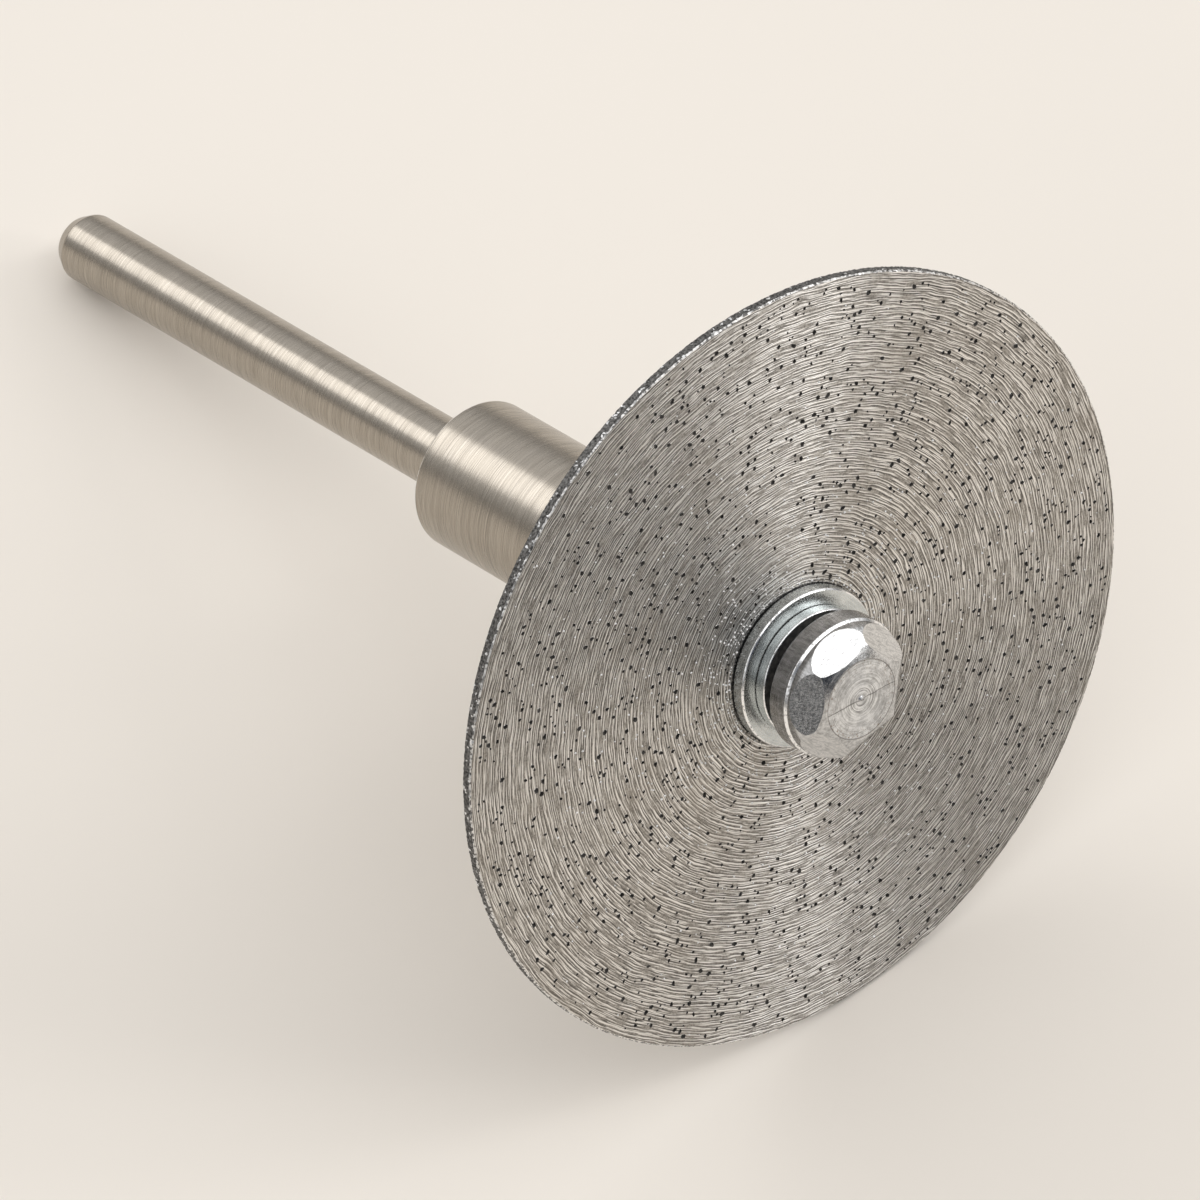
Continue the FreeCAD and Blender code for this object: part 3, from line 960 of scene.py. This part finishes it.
def screw_flat_finish():
    """Flat end of the screw: satin rings from the turning tool, a long scratch and brown specks."""
    finish = Finish("screw_flat")
    place = finish.own_place()
    x, y, _ = finish.split(place)
    radius = finish.length(finish.joined(x, y, 0.0))
    vector = finish.drawn_round(x, y, radius, 0.7, 24.0)
    rings = finish.remap(finish.noise(vector, 1.0, 2.0, 0.6), 0.35, 0.65)
    blotches = finish.remap(finish.noise(place, 2.6, 5.0, 0.7), 0.4, 0.6)
    near_middle = finish.remap(radius, 1.3, 0.5, 0.35, 0.8)
    light_rings = finish.times(finish.remap(rings, 0.6, 0.9), near_middle)
    dark_rings = finish.times(finish.remap(rings, 0.4, 0.1), near_middle)
    colour = finish.mixed(blotches, grey(0.5), grey(0.76, -0.005))
    colour = finish.mixed(dark_rings, colour, grey(0.22, 0.03))
    colour = finish.mixed(light_rings, colour, grey(0.92))
    cracks = finish.hairline(finish.noise(place, 3.2, 3.0, 0.6), 0.012)
    cracks = finish.times(cracks, finish.remap(radius, 0.7, 1.5))
    colour = finish.mixed(finish.times(cracks, 0.7), colour, grey(0.1, 0.1))
    beside_scratch = finish.math("SUBTRACT", x, finish.times(y, FLAT_SCRATCH_LEAN))
    wander = finish.remap(finish.noise(place, 2.0, 2.0), 0.3, 0.7, -0.04, 0.04)
    distance = finish.math("ABSOLUTE", finish.plus(beside_scratch, wander))
    colour = finish.mixed(finish.remap(distance, 0.035, 0.012, 0.0, 0.75), colour, grey(0.1, 0.05))
    specks = finish.remap(finish.noise(place, 9.0, 3.0), 0.6, 0.66)
    near_edge = finish.remap(radius, 1.2, 1.7)
    specks = finish.times(specks, near_edge)
    colour = finish.mixed(finish.times(specks, 0.8), colour, (0.2, 0.12, 0.06, 1))
    edge_line = finish.remap(radius, FLAT_RADIUS - 0.06, FLAT_RADIUS - 0.02, 0.0, 0.85)
    colour = finish.mixed(edge_line, colour, grey(0.12, 0.06))
    finish.set(Base_Color=colour, Metallic=1.0, Anisotropic=0.4)
    finish.set(Roughness=finish.remap(blotches, 0.0, 1.0, 0.42, 0.32))
    finish.set(Normal=finish.bump(finish.plus(rings, blotches), 0.3, 0.012 * MM))
    finish.brush_across(finish.joined(x, y, 0.0))
    return finish.material


def add_floor():
    """A wide pale floor with the faintest mottling."""
    finish = Finish("floor")
    coordinates = finish.tree.nodes.new("ShaderNodeTexCoord")
    mottle = finish.noise(coordinates.outputs["Object"], 60.0, 2.0)
    light = (*FLOOR_COLOUR, 1)
    dark = (*(FLOOR_MOTTLE * channel for channel in FLOOR_COLOUR), 1)
    finish.set(Base_Color=finish.mixed(mottle, light, dark), Roughness=0.9, Specular_IOR_Level=0.0)
    outline = Outline()
    rings = [outline.add_ring(circle(radius, 0, FLOOR_SEGMENTS)) for radius in FLOOR_RADII]
    outline.add_face(rings[0])
    for inner, outer in zip(rings, rings[1:]):
        outline.join_rings(outer, inner)
    bm = outline.to_bmesh()
    mesh = bpy.data.meshes.new("floor")
    bm.to_mesh(mesh)
    bm.free()
    mesh.materials.append(finish.material)
    floor = bpy.data.objects.new("floor", mesh)
    bpy.context.scene.collection.objects.link(floor)


def add_lamp(name, direction, size, radiance):
    """A soft box that faces the tool from a direction."""
    lamp = bpy.data.lights.new(name, "AREA")
    lamp.shape = "RECTANGLE"
    lamp.size, lamp.size_y = size
    lamp.energy = radiance * math.pi * size[0] * size[1]
    box = bpy.data.objects.new(name, lamp)
    bpy.context.scene.collection.objects.link(box)
    towards = Vector(direction).normalized()
    box.location = towards * LAMP_DISTANCE + Vector(LAMP_CENTRE)
    box.rotation_euler = towards.to_track_quat("Z", "Y").to_euler()


def add_world():
    """Soft even light from above, with a dark band at the horizon and a dark side."""
    world = bpy.data.worlds.new("studio")
    bpy.context.scene.world = world
    world.use_nodes = True
    tree = world.node_tree
    place = tree.nodes.new("ShaderNodeTexCoord")
    axes = tree.nodes.new("ShaderNodeSeparateXYZ")
    ramp = tree.nodes.new("ShaderNodeValToRGB")
    tree.links.new(place.outputs["Generated"], axes.inputs[0])
    tree.links.new(axes.outputs[2], ramp.inputs[0])
    low, high = ramp.color_ramp.elements
    low.position = SKY_DARK_HEIGHT
    low.color = SKY_DARK
    high.position = SKY_LIGHT_HEIGHT
    high.color = SKY_LIGHT
    facing = tree.nodes.new("ShaderNodeVectorMath")
    facing.operation = "DOT_PRODUCT"
    tree.links.new(place.outputs["Generated"], facing.inputs[0])
    facing.inputs[1].default_value = Vector(DARK_SIDE).normalized()
    share = tree.nodes.new("ShaderNodeMapRange")
    share.interpolation_type = "SMOOTHSTEP"
    tree.links.new(facing.outputs["Value"], share.inputs["Value"])
    share.inputs["From Min"].default_value = DARK_SIDE_EDGE
    share.inputs["From Max"].default_value = DARK_SIDE_CORE
    shade = tree.nodes.new("ShaderNodeMix")
    shade.data_type = "RGBA"
    tree.links.new(share.outputs["Result"], shade.inputs["Factor"])
    tree.links.new(ramp.outputs[0], shade.inputs[6])
    shade.inputs[7].default_value = DARK_SIDE_COLOUR
    tree.links.new(shade.outputs[2], tree.nodes["Background"].inputs["Color"])


def add_camera(blade_centre):
    azimuth = math.radians(CAMERA_AZIMUTH)
    elevation = math.radians(CAMERA_ELEVATION)
    right = Vector((math.cos(azimuth), math.sin(azimuth), 0))
    back = Vector((
        math.sin(azimuth) * math.cos(elevation),
        -math.cos(azimuth) * math.cos(elevation),
        math.sin(elevation),
    ))
    up = back.cross(right)
    lens = bpy.data.cameras.new("camera")
    lens.lens = CAMERA_LENS
    lens.sensor_width = CAMERA_SENSOR
    lens.clip_start = CAMERA_NEAR
    lens.clip_end = CAMERA_FAR
    camera = bpy.data.objects.new("camera", lens)
    bpy.context.scene.collection.objects.link(camera)
    turn = Matrix((right, up, back)).transposed().to_4x4()
    picture_centre = blade_centre - right * BLADE_RIGHT_OF_CENTRE + up * BLADE_BELOW_CENTRE
    camera.matrix_world = Matrix.Translation(picture_centre + back * CAMERA_DISTANCE) @ turn
    bpy.context.scene.camera = camera


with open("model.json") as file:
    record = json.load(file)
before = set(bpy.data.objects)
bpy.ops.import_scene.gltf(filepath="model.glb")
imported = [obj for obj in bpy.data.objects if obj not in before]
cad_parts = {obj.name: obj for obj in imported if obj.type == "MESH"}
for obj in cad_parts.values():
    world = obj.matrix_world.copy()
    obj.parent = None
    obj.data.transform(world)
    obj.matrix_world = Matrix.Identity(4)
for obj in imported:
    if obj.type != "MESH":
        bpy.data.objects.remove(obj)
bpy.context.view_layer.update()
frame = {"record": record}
tool = tool_placement(frame["record"])

blade_finishes = [blade_face_finish(), pit_shadow_finish(), rim_finish(), rim_edge_finish()]
crevice_shade = crevice_shade_finish()
painted_glint = painted_glint_finish()
screw_finishes = [screw_side_finish(), screw_facet_finish(), screw_flat_finish(), crevice_shade, painted_glint]
washer_finishes = [zinc_finish(), crevice_shade, painted_glint]
mandrel_finishes = [turned_steel_finish(), painted_glint]
add_piece("mandrel_body", mandrel_mesh(), mandrel_finishes, "mandrel")
blade_disc, blade_grains = blade_meshes()
add_piece("blade_disc", blade_disc, blade_finishes, "blade")
add_piece("blade_grains", blade_grains, [grain_finish()], "blade")
add_piece("flat_washer_ring", flat_washer_mesh(), washer_finishes, "flat_washer")
add_piece("spring_washer_ring", spring_washer_mesh(), washer_finishes, "spring_washer")
add_piece("clamp_screw_body", clamp_screw_mesh(), screw_finishes, "clamp_screw")

add_floor()
for lamp_name, (lamp_direction, lamp_size, lamp_radiance) in LAMPS.items():
    add_lamp(lamp_name, lamp_direction, lamp_size, lamp_radiance)
add_world()
add_camera(tool @ Vector((0, 0, BLADE_THICKNESS * MM)))

scene = bpy.context.scene
scene.view_settings.view_transform = "Standard"
